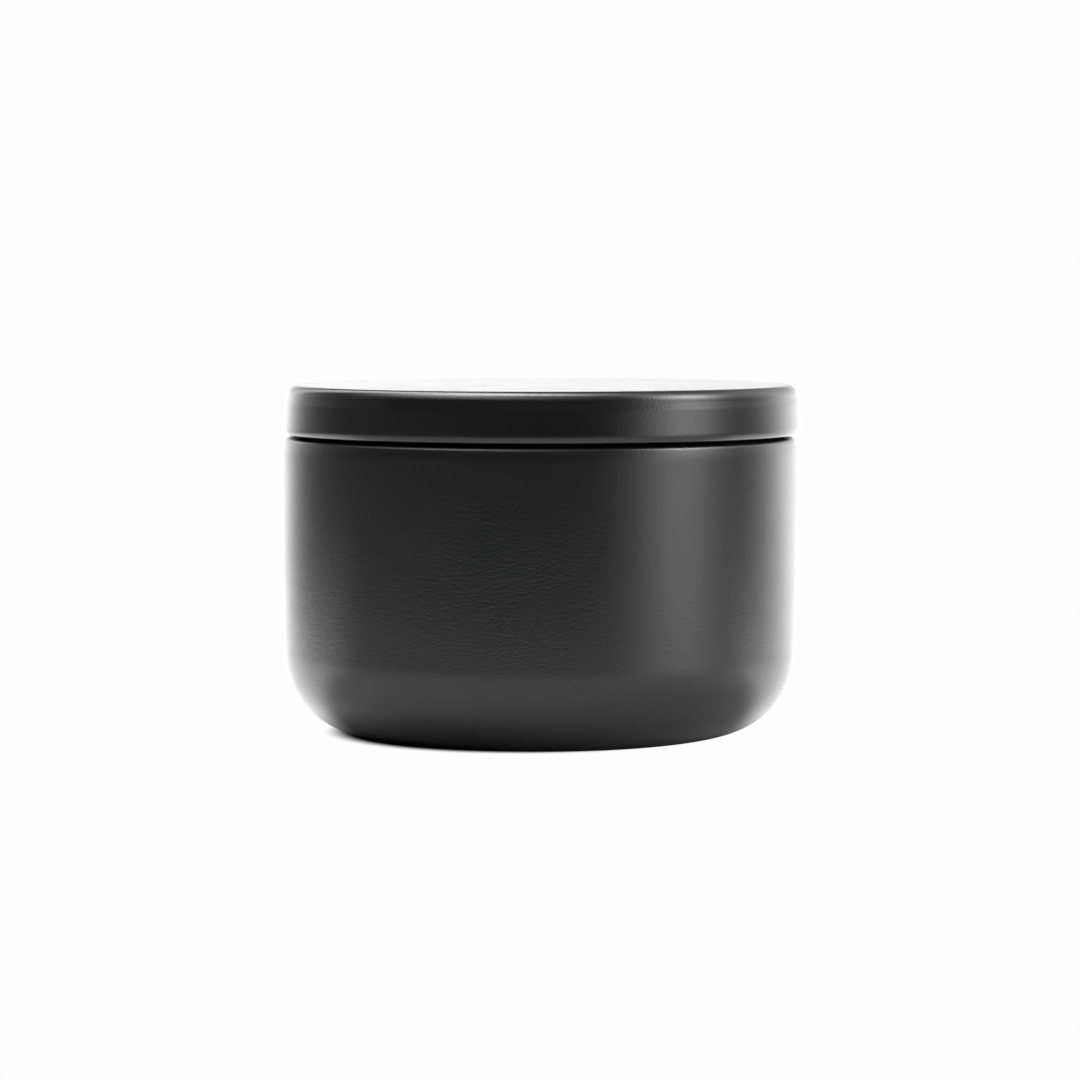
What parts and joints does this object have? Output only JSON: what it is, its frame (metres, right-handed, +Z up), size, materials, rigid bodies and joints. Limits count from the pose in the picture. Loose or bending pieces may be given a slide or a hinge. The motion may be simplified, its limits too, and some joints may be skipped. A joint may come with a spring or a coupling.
{
  "type": "candle tin",
  "caption": "Round black tin with a lift-off lid that holds a poured wax candle with a cotton wick in its middle.",
  "frame": {"origin": "centre of the base, on the plane that the tin stands on", "axes": "+Z up along the tin's axis of revolution, towards the lid; X and Y are alike because the tin is round"},
  "size_m": [0.0776, 0.0776, 0.0523],
  "materials": {
    "black_paint": "satin black paint on tinplate, bare tinplate on the inside faces",
    "soy_wax": "matt cream container wax",
    "wick_cotton": "waxed cotton braid",
    "bare_tinplate": "bright tinplate",
    "sticker_foam": "white double-sided foam"
  },
  "bodies": {
    "tin": {"tin_body": "black_paint", "wax": "soy_wax", "wick": "wick_cotton", "wick_sustainer": "bare_tinplate", "wick_sticker": "sticker_foam"},
    "lid": {"lid": "black_paint"}
  },
  "joints": [
    {"name": "lid_lift", "type": "slide", "parent": "tin", "child": "lid", "axis": [0, 0, 1], "range_m": [0, 0.06]}
  ]
}
